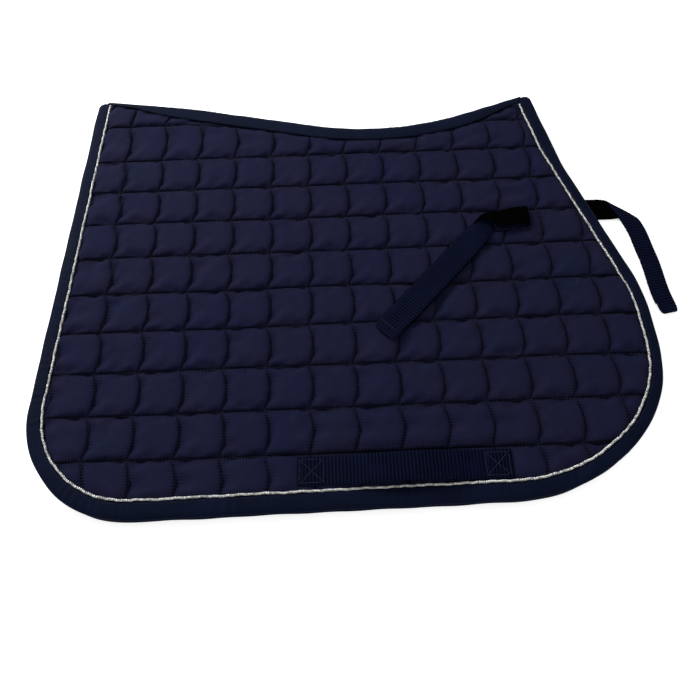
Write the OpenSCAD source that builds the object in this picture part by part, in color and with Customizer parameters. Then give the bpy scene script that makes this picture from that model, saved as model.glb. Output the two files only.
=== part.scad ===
// Quilted saddle pad, folded along its spine and lying flat on its left flap.
// +X points to the horse's head, +Y to the spine, +Z up through the folded pad.
// The origin lies on the resting plane, under the middle of the left flap.

/* [Outline] */
// Distance from the origin back to the rear bottom corner
rear_reach = 314; // [290:1:340]
// Distance from the origin forward to the knee bulge
front_reach = 371; // [345:1:400]
// Distance from the origin down to the bottom edge
bottom_reach = 276; // [250:1:335]
// Distance from the origin up to the rear end of the spine
spine_reach = 288; // [272:1:320]
// How far the rear edge leans forward from bottom to top
rear_lean = 23; // [0:1:40]
// Corner radius at the rear bottom
rear_corner_r = 120; // [60:1:140]
// Corner radius where the bottom edge turns up to the knee
knee_low_r = 198; // [120:1:200]
// Corner radius at the front of the knee bulge
knee_front_r = 150; // [90:1:152]
// How far the front end of the spine stands behind the knee bulge
front_setback = 80; // [60:1:110]
// Depth of the spine's curve below its rear end
spine_dip = 78; // [50:1:80]

/* [Quilting] */
// Distance between the columns of stitches
cell_w = 46.5; // [36:0.5:60]
// Distance between the rows of stitches
cell_h = 49.5; // [38:0.5:62]
// How far each column line bows forward within a cell
cell_bow = 5; // [0:0.5:7]
// Width of the groove that the stitches pull down between two puffs
groove_w = 3.2; // [2:0.1:5]
// Width of a quilting stitch line
thread_w = 1; // [0.6:0.1:1.6]

/* [Layers] */
// Thickness of the lining cloth
lining_t = 0.8; // [0.5:0.1:1.5]
// Thickness of the wadding where the stitches hold it down
wadding_t = 3; // [2:0.1:8]
// Thickness of the cover cloth
cover_t = 0.8; // [0.5:0.1:1.5]
// Height of the puffs above the stitch lines
puff_h = 2.8; // [2.8:0.1:6]
// Clear space between the two folded flaps
flap_gap = 0.4; // [0.2:0.1:2]

/* [Edges] */
// Thickness of the edge binding
binding_t = 0.9; // [0.6:0.1:1.5]
// Visible width of the binding along the rear edge
rear_binding_w = 15; // [10:0.5:22]
// Visible width of the binding along the bottom edge
bottom_binding_w = 18; // [10:0.5:22]
// Visible width of the binding round the knee bulge
knee_binding_w = 12; // [9:0.5:20]
// Visible width of the binding up the neck of the front edge
neck_binding_w = 17; // [10:0.5:22]
// Width of the spine tape on each flap
spine_tape_w = 20; // [14:0.5:21]
// Width of the binding and tape on the lining side
inner_tape_w = 14; // [10:0.5:16]
// Diameter of the piping cord
piping_d = 2.8; // [2:0.1:2.8]

/* [Webbing] */
// Width of the webbing used for the loops and the straps
webbing_w = 30; // [24:1:32]
// Thickness of the webbing
webbing_t = 1.6; // [1.2:0.1:2.2]
// Thickness of the hook-and-loop tape on the straps
hook_t = 1.8; // [1.2:0.1:2.4]
// Length of a girth loop over both of its sewn ends
loop_length = 217; // [160:1:240]
// Height of the slack girth loop above the right flap
loop_bow = 9; // [8:0.5:16]
// Length of a sewn patch
patch_length = 30; // [24:1:36]

/* [Straps] */
// Distance from the origin forward to the sewn patch of each strap
strap_patch_x = 212; // [190:1:220]
// Height of the right strap above the origin
right_strap_y = 64; // [40:1:80]
// Height of the left strap above the origin
left_strap_y = 87; // [60:1:100]
// How far forward the right strap doubles back
right_turn_x = 251; // [248:1:262]
// How far forward the left strap leaves the pad and bends
left_turn_x = 349; // [345:1:362]
// Length of the right strap between its turn and its diagonal fold
right_run = 45; // [38:1:60]
// Length of the left strap between its bend and its diagonal fold
left_run = 25; // [20:1:40]
// Length of the right strap's tail beyond the diagonal fold
right_tail = 200; // [140:1:230]
// Length of the left strap's tail beyond the diagonal fold
left_tail = 154; // [120:1:200]
// Direction of the right strap's tail, in degrees from +X
right_tail_dir = 227; // [215:1:240]
// Direction of the left strap's tail, in degrees from +X
left_tail_dir = -81; // [-100:1:-70]

/* [Fold] */
// Height of the line where the right flap bends when it is lifted
bend_y = 199; // [190:1:200]

/* [Hidden] */

NAVY = [0.13, 0.14, 0.22];
DARK_NAVY = [0.07, 0.09, 0.15];
BLACK = [0.02, 0.02, 0.02];
SILVER = [0.75, 0.75, 0.74];
THREAD = [0.25, 0.27, 0.4];
WHITE = [0.85, 0.84, 0.8];

big = 1200;
arc_step = 5;           // degrees between the points of an outline's arc
edge_wall = 1.5;        // binding cloth round the cut edge of a flap
thread_t = 0.5;         // height of a quilting stitch line in its groove
stitch_t = 0.2;         // height of the sewing thread on tape and webbing
stitch_w = 0.9;         // width of that thread
stitch_margin = 1.6;    // from a tape's edge to its stitch line
piping_gap = 0.2;       // clearance on each side of the piping
rim_w = 3;              // puff left whole between a groove's end and the edge
pocket_gap = 0.3;       // clearance round webbing that is sewn into the puffs
rest_gap = 0.8;         // clearance under the right strap's tail
hem = 14;               // length folded under at the end of a strap
hook_setback = 3;       // hook-and-loop tape starts this far from a strap's bend

// Heights above the lining side of a flap, which is where the two flaps meet.
lining_w0 = binding_t;
wadding_w0 = lining_w0 + lining_t;
cover_w0 = wadding_w0 + wadding_t;
groove_w0 = cover_w0 + cover_t;
binding_w0 = groove_w0;
flap_t = groove_w0 + puff_h;
mid_z = flap_t + flap_gap / 2;
top_z = 2 * mid_z;
pocket_w0 = flap_t - webbing_t - stitch_t;

// ---------- outline: corners joined by arcs ----------

// Each corner is [x, y, radius], going anticlockwise from the rear end of the spine.
CORNERS = [
    [-rear_reach + rear_lean, spine_reach, 9],
    [-rear_reach, -bottom_reach, rear_corner_r],
    [front_reach - 112, -bottom_reach + 6, knee_low_r],
    [front_reach, -bottom_reach + 102, knee_front_r],
    [front_reach - 2, -38, 187],
    [front_reach - front_setback + 19, 152, 217],
    [front_reach - front_setback, spine_reach - 13, 8],
    [96, spine_reach - spine_dip, 360],
    [-159, spine_reach - 19, 420]
];
COUNT = len(CORNERS);
function same(d) = [for (i = [0 : COUNT - 1]) d];
VISIBLE = [rear_binding_w, bottom_binding_w, knee_binding_w + 2, knee_binding_w,
           knee_binding_w + 1, neck_binding_w, spine_tape_w, spine_tape_w,
           spine_tape_w * 0.7];
ALONG_SPINE = [0, 0, 0, 0, 0, 0, 1, 1, 1];
// The binding's inner edge, moved further in by d, or by d on the spine's edges too.
function visible(d, spine = 0) =
    [for (i = [0 : COUNT - 1]) VISIBLE[i] + (ALONG_SPINE[i] ? spine : d)];

function unit(v) = v / norm(v);
function left(v) = [-v[1], v[0]];
function xy(p) = [p[0], p[1]];
function turned(v, a) = [v[0] * cos(a) - v[1] * sin(a), v[0] * sin(a) + v[1] * cos(a)];
function heading(a) = [cos(a), sin(a)];
function corner(i) = xy(CORNERS[(i + COUNT) % COUNT]);
function edge_dir(i) = unit(corner(i + 1) - corner(i));
function turn_at(i) =
    let (a = edge_dir(i - 1), b = edge_dir(i)) atan2(a[0] * b[1] - a[1] * b[0], a * b);

// Corner i after each edge k has moved inwards by inset[k].
function inset_corner(i, inset) =
    let (m = left(edge_dir(i - 1)),
         n = left(edge_dir(i)),
         dm = inset[(i + COUNT - 1) % COUNT],
         dn = inset[i % COUNT],
         det = m[0] * n[1] - m[1] * n[0])
    corner(i) + [dm * n[1] - m[1] * dn, m[0] * dn - dm * n[0]] / det;
function inset_radius(i, inset) =
    let (d = (inset[(i + COUNT - 1) % COUNT] + inset[i % COUNT]) / 2)
    max(2, CORNERS[i % COUNT][2] - sign(turn_at(i)) * d);
function arc_centre(i, inset) =
    let (r = inset_radius(i, inset), a = edge_dir(i - 1), t = turn_at(i))
    inset_corner(i, inset) - a * r * tan(abs(t) / 2) + left(a) * r * sign(t);
function arc_start(i, inset) =
    let (a = edge_dir(i - 1))
    inset_corner(i, inset) - a * inset_radius(i, inset) * tan(abs(turn_at(i)) / 2);
function arc_points(i, inset) =
    let (c = arc_centre(i, inset),
         v = arc_start(i, inset) - c,
         t = turn_at(i),
         n = max(2, ceil(abs(t) / arc_step)))
    [for (k = [0 : n]) c + turned(v, t * k / n)];

module outline(inset) {
    polygon([for (i = [0 : COUNT - 1]) each arc_points(i, inset)]);
}

module ring(outer, inner) {
    difference() {
        outline(outer);
        outline(inner);
    }
}

// ---------- where the pieces of the pad begin and end ----------

TAPE_END = 3;           // from the binding's inner edge to the end of the spine tape
REAR_END = inset_corner(0, VISIBLE) + [TAPE_END, 0];
FRONT_END = inset_corner(6, VISIBLE) - [TAPE_END, 0];

// The stretch of edge that the spine tape covers, between the two ends of the binding.
module spine_zone() {
    polygon([REAR_END - [0, 6], [CORNERS[7][0] - 50, bend_y], [CORNERS[7][0] + 50, bend_y],
             FRONT_END - [0, 9], [FRONT_END[0], big], [REAR_END[0], big]]);
}

module along_spine() {
    intersection() {
        children();
        spine_zone();
    }
}

module below_bend() {
    intersection() {
        children();
        translate([-big, bend_y - 2 * big, -big]) cube(2 * big);
    }
}

module above_bend() {
    intersection() {
        children();
        translate([-big, bend_y, -big]) cube(2 * big);
    }
}

// Puts a piece that is drawn from the lining side up onto the right or the left flap.
module right_flap() {
    translate([0, 0, mid_z + flap_gap / 2]) children();
}

module left_flap() {
    translate([0, 0, mid_z - flap_gap / 2]) mirror([0, 0, 1]) children();
}

module slab(z, t) {
    translate([0, 0, z]) linear_extrude(t) children();
}

// ---------- quilting ----------

COL_X = -11.5;
ROW_Y = 32;
FIRST_COL = -ceil((rear_reach + COL_X) / cell_w) - 1;
LAST_COL = ceil((front_reach - COL_X) / cell_w);
FIRST_ROW = -ceil((bottom_reach + ROW_Y) / cell_h);
LAST_ROW = ceil((spine_reach - ROW_Y) / cell_h);
BOW_STEPS = 3;
CORD_SIDES = 8;

function row_y(j) = ROW_Y + j * cell_h;
// A point on column i at height f, from 0 to 1, between rows j and j + 1.
function column_point(i, j, f, shift) =
    [COL_X + i * cell_w + cell_bow * sin(180 * f) + shift, row_y(j) + f * cell_h];

// The lines of column i, from below the bottom row to above the top one, w wide.
module column_line(i, w) {
    steps = [for (j = [FIRST_ROW : LAST_ROW], k = [0 : BOW_STEPS - 1]) [j, k / BOW_STEPS]];
    side = [for (s = steps) column_point(i, s[0], s[1], w / 2)];
    polygon(concat(side, [for (k = [len(side) - 1 : -1 : 0]) side[k] - [w, 0]]));
}

// The net of stitch lines, w wide, over the whole flap.
module stitch_net(w) {
    for (j = [FIRST_ROW + 1 : LAST_ROW])
        translate([-rear_reach, row_y(j) - w / 2]) square([rear_reach + front_reach, w]);
    for (i = [FIRST_COL : LAST_COL]) column_line(i, w);
}

module quilted_area() {
    outline(visible(piping_d + 2 * piping_gap, piping_gap));
}

// ---------- webbing places ----------

LOOP_X = -25;
LOOP_Y = -bottom_reach + bottom_binding_w + webbing_w / 2 + 9.5;

module loop_band(gap) {
    translate([LOOP_X - gap, LOOP_Y - webbing_w / 2 - gap])
        square([loop_length + 2 * gap, webbing_w + 2 * gap]);
}

module strap_band(y, to_x, gap) {
    translate([strap_patch_x - gap, y - webbing_w / 2 - gap])
        square([to_x - strap_patch_x + 2 * gap, webbing_w + 2 * gap]);
}

// Room pressed into the puffs under sewn webbing, from height pocket_w0 up.
module right_pockets() {
    translate([0, 0, pocket_w0]) linear_extrude(big) {
        loop_band(pocket_gap);
        strap_band(right_strap_y, right_turn_x + u_turn_r, pocket_gap);
    }
}

module left_pockets() {
    translate([0, 0, pocket_w0]) linear_extrude(big) {
        loop_band(pocket_gap);
        strap_band(left_strap_y, front_reach, pocket_gap);
    }
}

// ---------- layers of one flap ----------

// Grooves run to a rim that stays whole beside the piping and the spine tape.
module groove_net(w) {
    intersection() {
        outline(visible(piping_d + 2 * piping_gap + rim_w, piping_gap + rim_w));
        stitch_net(w);
    }
}

module cover_layer() {
    difference() {
        translate([0, 0, cover_w0]) linear_extrude(cover_t + puff_h) outline(same(edge_wall));
        translate([0, 0, groove_w0]) linear_extrude(2 * puff_h) difference() {
            translate([-rear_reach - 20, -bottom_reach - 20])
                square([rear_reach + front_reach + 40, bottom_reach + spine_reach + 40]);
            quilted_area();
        }
        translate([0, 0, groove_w0]) linear_extrude(puff_h + 1) groove_net(groove_w);
    }
}

module wadding_layer() {
    translate([0, 0, wadding_w0]) linear_extrude(wadding_t) outline(same(edge_wall));
}

module lining_layer() {
    translate([0, 0, lining_w0]) linear_extrude(lining_t) outline(same(edge_wall));
}

module binding_wrap() {
    difference() {
        linear_extrude(binding_w0 + binding_t) outline(same(0));
        translate([0, 0, -1]) linear_extrude(wadding_w0 + 2) outline(same(inner_tape_w));
        translate([0, 0, lining_w0]) linear_extrude(binding_w0 - lining_w0)
            outline(same(edge_wall));
        translate([0, 0, cover_w0 - 1]) linear_extrude(flap_t) outline(VISIBLE);
        translate([0, 0, -1]) linear_extrude(flap_t + 2) spine_zone();
    }
}

module thread_layer() {
    translate([0, 0, groove_w0]) linear_extrude(thread_t) groove_net(thread_w);
}

module binding_thread() {
    z = binding_w0 + binding_t;
    difference() {
        slab(z, stitch_t) outline(visible(-stitch_margin - stitch_w));
        slab(z - 1, 3) outline(visible(-stitch_margin));
        slab(z - 1, 3) spine_zone();
    }
}

// The cord beside the binding, from the spine tape at the rear round to the front.
module piping_cord() {
    in = visible(piping_d / 2 + piping_gap);
    route = concat([inset_corner(0, in) + edge_dir(0) * 3],
                   [for (i = [1 : 5]) each arc_points(i, in)],
                   [inset_corner(6, in) - edge_dir(5) * 3]);
    n = len(route);
    across = [for (k = [0 : n - 1])
        left(unit(route[min(k + 1, n - 1)] - route[max(k - 1, 0)]))];
    rings = [for (k = [0 : n - 1], a = [0 : 360 / CORD_SIDES : 359])
        [route[k][0] + across[k][0] * cos(a) * piping_d / 2,
         route[k][1] + across[k][1] * cos(a) * piping_d / 2,
         groove_w0 + piping_d / 2 + sin(a) * piping_d / 2]];
    walls = [for (k = [0 : n - 2], a = [0 : CORD_SIDES - 1])
        let (b = (a + 1) % CORD_SIDES, p = k * CORD_SIDES)
        [p + a, p + b, p + b + CORD_SIDES, p + a + CORD_SIDES]];
    ends = [[for (a = [CORD_SIDES - 1 : -1 : 0]) a],
            [for (a = [0 : CORD_SIDES - 1]) (n - 1) * CORD_SIDES + a]];
    polyhedron(rings, concat(walls, ends), convexity = 10);
}

// ---------- webbing ----------

// A square frame of stitches with a cross in it, on a patch with its corner at the origin.
module box_stitch() {
    m = stitch_margin + 1;
    a = patch_length - 2 * m;
    b = webbing_w - 2 * m;
    translate([m, m]) {
        difference() {
            square([a, b]);
            translate([stitch_w, stitch_w]) square([a - 2 * stitch_w, b - 2 * stitch_w]);
        }
        intersection() {
            square([a, b]);
            union() {
                for (s = [-1, 1])
                    translate([a / 2, b / 2]) rotate(s * atan2(b, a))
                        square([2 * a, stitch_w], center = true);
            }
        }
    }
}

module patch_stitch(x, y) {
    translate([x, y - webbing_w / 2, flap_t - stitch_t]) linear_extrude(stitch_t) box_stitch();
}

// The slack girth loop: both ends sewn flat, the middle bowed up.
module bowed_loop() {
    span = loop_length - 2 * patch_length;
    n = 24;
    rise = [for (k = [0 : n]) [patch_length + span * k / n, loop_bow * sin(180 * k / n)]];
    line = concat([[0, 0]], rise, [[loop_length, 0]]);
    lower = [for (p = line) [p[0], pocket_w0 + p[1]]];
    upper = [for (k = [len(line) - 1 : -1 : 0]) lower[k] + [0, webbing_t]];
    translate([LOOP_X, LOOP_Y + webbing_w / 2, 0]) rotate([90, 0, 0])
        linear_extrude(webbing_w) polygon(concat(lower, upper));
}

module flat_loop() {
    translate([0, 0, pocket_w0]) linear_extrude(webbing_t) loop_band(0);
}

// Plan shapes of a strap that runs from start in direction a to the fold point,
// then leaves in direction b. Both end on the diagonal fold line.
function fold_point(start, run, a) = start + heading(a) * run;
function fold_dir(a, b) = heading((a + b) / 2);
function on_fold(f, a, b, d, side) =
    f + fold_dir(a, b) * side * (webbing_w / 2) / (fold_dir(a, b) * left(heading(d)));

module run_shape(start, run, a, b, skip = 0) {
    f = fold_point(start, run, a);
    n = left(heading(a)) * webbing_w / 2;
    s = start + heading(a) * skip;
    polygon([s + n, s - n, on_fold(f, a, b, a, -1), on_fold(f, a, b, a, 1)]);
}

module tail_shape(start, run, a, b, from, to) {
    f = fold_point(start, run, a);
    n = left(heading(b)) * webbing_w / 2;
    p = f + heading(b) * from;
    q = f + heading(b) * to;
    near_left = from == 0 ? on_fold(f, a, b, b, 1) : p + n;
    near_right = from == 0 ? on_fold(f, a, b, b, -1) : p - n;
    polygon([near_left, near_right, q - n, q + n]);
}

RIGHT_START = [right_turn_x, right_strap_y];
right_base_z = top_z - stitch_t - webbing_t;
right_tail_z = top_z + rest_gap + hook_t;
right_run_z = right_tail_z + webbing_t;
u_turn_r = (right_run_z + webbing_t - right_base_z) / 2;

LEFT_START = [left_turn_x, left_strap_y];
left_base_z = stitch_t;
left_tail_z = left_base_z + webbing_t + 2 * hook_t;

// A strip along the fold line, from d0 to d1 beyond it, spare longer at both ends.
module fold_strip(start, run, a, b, d0, d1, spare = 0) {
    f = fold_point(start, run, a);
    along = unit(on_fold(f, a, b, a, 1) - on_fold(f, a, b, a, -1));
    p = on_fold(f, a, b, a, 1) + along * spare;
    q = on_fold(f, a, b, a, -1) - along * spare;
    n = left(fold_dir(a, b)) * sign((f - start) * left(fold_dir(a, b)));
    polygon([p + n * d0, q + n * d0, q + n * d1, p + n * d1]);
}

// Cloth that turns over at the fold line, joining the run to the tail round height z.
module fold_wrap(start, run, a, b, z, r_in, r_out) {
    difference() {
        slab(z - r_out, 2 * r_out) fold_strip(start, run, a, b, 0, r_out);
        if (r_in > 0) slab(z - r_in, 2 * r_in) fold_strip(start, run, a, b, -1, r_in, 5);
    }
}

// ---------- the pieces ----------

module left_cover() {
    color(NAVY) left_flap() difference() {
        cover_layer();
        left_pockets();
    }
}

module left_wadding() {
    color(WHITE) left_flap() wadding_layer();
}

module left_lining() {
    color(NAVY) left_flap() lining_layer();
}

module left_binding() {
    color(DARK_NAVY) left_flap() difference() {
        binding_wrap();
        left_pockets();
    }
}

module left_piping() {
    color(SILVER) left_flap() difference() {
        piping_cord();
        left_pockets();
    }
}

module left_quilting_thread() {
    color(THREAD) left_flap() difference() {
        thread_layer();
        left_pockets();
    }
}

module left_binding_stitching() {
    color(THREAD) left_flap() difference() {
        binding_thread();
        left_pockets();
    }
}

module left_girth_loop() {
    color(DARK_NAVY) left_flap() flat_loop();
}

module left_girth_loop_stitching() {
    color(THREAD) left_flap() {
        patch_stitch(LOOP_X, LOOP_Y);
        patch_stitch(LOOP_X + loop_length - patch_length, LOOP_Y);
    }
}

module left_strap_base() {
    color(DARK_NAVY) slab(left_base_z, webbing_t) strap_band(left_strap_y, left_turn_x, 0);
}

module left_strap_stitching() {
    color(THREAD) left_flap() patch_stitch(strap_patch_x, left_strap_y);
}

module left_strap_tail() {
    color(DARK_NAVY) {
        slab(left_base_z, webbing_t) run_shape(LEFT_START, left_run, 0, left_tail_dir);
        slab(left_tail_z, webbing_t)
            tail_shape(LEFT_START, left_run, 0, left_tail_dir, 0, left_tail);
        slab(left_tail_z - webbing_t, webbing_t)
            tail_shape(LEFT_START, left_run, 0, left_tail_dir, left_tail - hem, left_tail);
        fold_wrap(LEFT_START, left_run, 0, left_tail_dir, left_base_z + webbing_t + hook_t,
                  hook_t, hook_t + webbing_t);
    }
}

module left_strap_hook_tape() {
    color(BLACK) {
        slab(left_base_z + webbing_t, hook_t)
            run_shape(LEFT_START, left_run, 0, left_tail_dir, hook_setback);
        slab(left_tail_z - hook_t, hook_t)
            tail_shape(LEFT_START, left_run, 0, left_tail_dir, 0, left_tail - hem);
        fold_wrap(LEFT_START, left_run, 0, left_tail_dir, left_base_z + webbing_t + hook_t,
                  0, hook_t);
    }
}

module spine_tape() {
    strip_z = binding_w0 + binding_t + flap_gap / 2;
    color(DARK_NAVY) {
        slab(mid_z - strip_z, 2 * strip_z) along_spine() ring(same(0), same(edge_wall));
        right_flap() slab(binding_w0, binding_t) along_spine() ring(same(0), VISIBLE);
        left_flap() slab(binding_w0, binding_t) along_spine() ring(same(0), VISIBLE);
    }
}

module spine_inner_tape() {
    half = lining_w0 + flap_gap / 2;
    color(DARK_NAVY) slab(mid_z - half, 2 * half)
        along_spine() ring(same(edge_wall), same(inner_tape_w));
}

module spine_stitch_line() {
    slab(binding_w0 + binding_t, stitch_t) along_spine()
        ring(visible(0, -stitch_margin - stitch_w), visible(0, -stitch_margin));
}

module spine_stitching() {
    color(THREAD) {
        right_flap() spine_stitch_line();
        left_flap() spine_stitch_line();
    }
}

module right_cover_whole() {
    color(NAVY) right_flap() difference() {
        cover_layer();
        right_pockets();
    }
}

module right_piping_whole() {
    color(SILVER) right_flap() piping_cord();
}

module right_thread_whole() {
    color(THREAD) right_flap() difference() {
        thread_layer();
        right_pockets();
    }
}

module right_girth_loop() {
    color(DARK_NAVY) right_flap() bowed_loop();
}

module right_girth_loop_stitching() {
    color(THREAD) right_flap() {
        patch_stitch(LOOP_X, LOOP_Y);
        patch_stitch(LOOP_X + loop_length - patch_length, LOOP_Y);
    }
}

// The sewn end of the right strap, up to the top of its U turn.
module right_strap_base() {
    color(DARK_NAVY) {
        slab(right_base_z, webbing_t) strap_band(right_strap_y, right_turn_x, 0);
        translate([right_turn_x, right_strap_y + webbing_w / 2, right_base_z + u_turn_r])
            rotate([90, 0, 0])
            intersection() {
                difference() {
                    cylinder(h = webbing_w, r = u_turn_r, $fn = 48);
                    translate([0, 0, -1])
                        cylinder(h = webbing_w + 2, r = u_turn_r - webbing_t, $fn = 48);
                }
                translate([0, -big / 2, -1]) cube(big);
            }
    }
}

module right_strap_stitching() {
    color(THREAD) right_flap() patch_stitch(strap_patch_x, right_strap_y);
}

module right_strap_tail() {
    color(DARK_NAVY) {
        slab(right_run_z, webbing_t) run_shape(RIGHT_START, right_run, 180, right_tail_dir);
        slab(right_tail_z, webbing_t)
            tail_shape(RIGHT_START, right_run, 180, right_tail_dir, 0, right_tail);
        slab(right_tail_z - webbing_t, webbing_t)
            tail_shape(RIGHT_START, right_run, 180, right_tail_dir, right_tail - hem, right_tail);
        fold_wrap(RIGHT_START, right_run, 180, right_tail_dir, right_run_z, 0, webbing_t);
    }
}

module right_strap_hook_tape() {
    color(BLACK) {
        slab(right_run_z + webbing_t, hook_t)
            run_shape(RIGHT_START, right_run, 180, right_tail_dir, hook_setback);
        slab(right_tail_z - hook_t, hook_t)
            tail_shape(RIGHT_START, right_run, 180, right_tail_dir, 0, right_tail - hem);
        fold_wrap(RIGHT_START, right_run, 180, right_tail_dir, right_run_z,
                  webbing_t, webbing_t + hook_t);
    }
}

left_cover();
left_wadding();
left_lining();
left_binding();
left_piping();
left_quilting_thread();
left_binding_stitching();
left_girth_loop();
left_girth_loop_stitching();
left_strap_base();
left_strap_stitching();
left_strap_tail();
left_strap_hook_tape();
spine_tape();
spine_inner_tape();
spine_stitching();
above_bend() right_cover_whole();  // right_cover_top
above_bend() color(WHITE) right_flap() wadding_layer();  // right_wadding_top
above_bend() color(NAVY) right_flap() lining_layer();  // right_lining_top
above_bend() color(DARK_NAVY) right_flap() binding_wrap();  // right_binding_top
above_bend() right_piping_whole();  // right_piping_top
above_bend() right_thread_whole();  // right_quilting_thread_top
above_bend() color(THREAD) right_flap() binding_thread();  // right_binding_stitching_top
below_bend() right_cover_whole();  // right_cover
below_bend() color(WHITE) right_flap() wadding_layer();  // right_wadding
below_bend() color(NAVY) right_flap() lining_layer();  // right_lining
below_bend() color(DARK_NAVY) right_flap() binding_wrap();  // right_binding
below_bend() right_piping_whole();  // right_piping
below_bend() right_thread_whole();  // right_quilting_thread
below_bend() color(THREAD) right_flap() binding_thread();  // right_binding_stitching
right_girth_loop();
right_girth_loop_stitching();
right_strap_base();
right_strap_stitching();
right_strap_tail();
right_strap_hook_tape();
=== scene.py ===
import math

import bpy
import numpy as np
from mathutils import Matrix


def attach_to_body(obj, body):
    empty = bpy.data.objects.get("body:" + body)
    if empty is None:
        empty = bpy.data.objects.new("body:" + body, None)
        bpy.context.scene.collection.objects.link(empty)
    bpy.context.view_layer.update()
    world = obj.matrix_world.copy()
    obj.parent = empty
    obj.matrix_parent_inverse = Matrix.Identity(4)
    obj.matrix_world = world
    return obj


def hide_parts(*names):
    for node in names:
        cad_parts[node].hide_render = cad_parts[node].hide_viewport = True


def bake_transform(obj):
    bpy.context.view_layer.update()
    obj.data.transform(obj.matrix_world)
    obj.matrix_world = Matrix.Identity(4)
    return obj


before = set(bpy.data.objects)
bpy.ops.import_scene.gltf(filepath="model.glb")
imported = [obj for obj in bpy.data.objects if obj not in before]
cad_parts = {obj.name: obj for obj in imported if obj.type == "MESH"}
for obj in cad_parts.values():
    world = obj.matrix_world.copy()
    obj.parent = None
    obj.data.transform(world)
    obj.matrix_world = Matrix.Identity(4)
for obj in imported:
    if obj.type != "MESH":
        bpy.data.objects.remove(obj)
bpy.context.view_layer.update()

MM = 0.001
# Lengths are in millimetres until add_mesh. A flap is modelled by x, y and w, its height above the
# lining side. place() turns w into z: up for the right flap (side 1), down for the left one (side -1).
TAU = 2 * math.pi

# ---------- measures of the CAD model, in millimetres ----------

CORNERS = np.array([
    (-291, 288, 9), (-314, -276, 120), (260, -270, 198), (374, -174, 150), (373, -38, 187),
    (314, 152, 217), (291, 275, 8), (96, 210, 360), (-159, 269, 420)], float)
VISIBLE = np.array([15, 18, 14.5, 13, 14.5, 17.5, 20, 20, 14], float)
ALONG_SPINE = np.array([0, 0, 0, 0, 0, 0, 1, 1, 1], bool)
CELL_W, CELL_H, CELL_BOW = 46.5, 49.5, 5.0
COL_X, ROW_Y = -11.5, 32.0
RIGHT_Z, LEFT_Z, MID_Z = 8.7, 8.3, 8.5
GROOVE_W = 5.5
INNER_TAPE_W = 14.0
WEB_W, WEB_T, HOOK_T = 30.0, 1.6, 1.8
LOOP_X, LOOP_Y, LOOP_L, PATCH_L, LOOP_BOW = -25.0, -233.5, 217.0, 30.0, 9.0
STRAP_X, RIGHT_STRAP_Y, LEFT_STRAP_Y = 212.0, 64.0, 87.0
RIGHT_TURN_X, U_TURN_R = 251.0, 3.8
RIGHT_RUN, LEFT_TAIL, LEFT_FOLD_X = 45.0, 154.0, 373.0
RIGHT_TAIL_DIR, LEFT_TAIL_DIR = 227.0, -81.0
POCKET_W = 6.5
COVER_T, LINING_T = 0.6, 0.55
BEND_START_Y, BEND_END_Y = 200.5, 130.0


def visible(d, spine=0.0):
    return VISIBLE + np.where(ALONG_SPINE, spine, d)


def smooth(t):
    t = np.clip(t, 0, 1)
    return t * t * (3 - 2 * t)


def ripple(x, y, size, seed, count=6):
    """A smooth made-up field of about -1 to 1, with features about size across."""
    rng = np.random.default_rng(seed)
    out = 0
    for _ in range(count):
        a, p, k = rng.uniform(0, TAU), rng.uniform(0, 6.28), rng.uniform(0.6, 1.5)
        out = out + np.sin(TAU * (x * math.cos(a) + y * math.sin(a)) / (size * k) + p)
    return out / (0.55 * count)


def wave(s, size, seed):
    return ripple(s, 0 * s, size, seed)


# ---------- outline: corners joined by arcs, with matching points at every inset ----------

P = CORNERS[:, :2]
EDGES = np.roll(P, -1, 0) - P
EDGES = EDGES / np.linalg.norm(EDGES, axis=1)[:, None]
TURNS = np.array([math.atan2(EDGES[i - 1][0] * EDGES[i][1] - EDGES[i - 1][1] * EDGES[i][0],
                             EDGES[i - 1] @ EDGES[i]) for i in range(9)])
STEP = 2.5
ARC_N = [max(5, int(abs(TURNS[i]) * CORNERS[i, 2] / STEP)) for i in range(9)]


def left_of(v):
    return np.array([-v[1], v[0]])


def arcs_at(inset):
    inset = np.broadcast_to(np.asarray(inset, float), (9,))
    arcs = []
    for i in range(9):
        a, b, t = EDGES[i - 1], EDGES[i], TURNS[i]
        m, n, dm, dn = left_of(a), left_of(b), inset[i - 1], inset[i]
        det = m[0] * n[1] - m[1] * n[0]
        corner = P[i] + np.array([dm * n[1] - m[1] * dn, m[0] * dn - dm * n[0]]) / det
        r = max(2.0, CORNERS[i, 2] - np.sign(t) * (dm + dn) / 2)
        start = corner - a * r * math.tan(abs(t) / 2)
        centre = start + left_of(a) * r * np.sign(t)
        k = np.linspace(0, 1, ARC_N[i] + 1) * t
        v = start - centre
        arcs.append(centre + np.stack([v[0] * np.cos(k) - v[1] * np.sin(k),
                                       v[0] * np.sin(k) + v[1] * np.cos(k)], 1))
    return arcs


BASE_ARCS = arcs_at(0)
EDGE_N = [int(np.linalg.norm(BASE_ARCS[(i + 1) % 9][0] - BASE_ARCS[i][-1]) / STEP) for i in range(9)]
ARC_AT = np.concatenate([[0], np.cumsum([ARC_N[i] + 1 + EDGE_N[i] for i in range(9)])])
LOOP_N = int(ARC_AT[-1])


def loop(inset):
    arcs = arcs_at(inset)
    out = []
    for i in range(9):
        out.append(arcs[i])
        p, q = arcs[i][-1], arcs[(i + 1) % 9][0]
        t = np.linspace(0, 1, EDGE_N[i] + 2)[1:-1, None]
        out.append(p + (q - p) * t)
    return np.concatenate(out)


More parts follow.
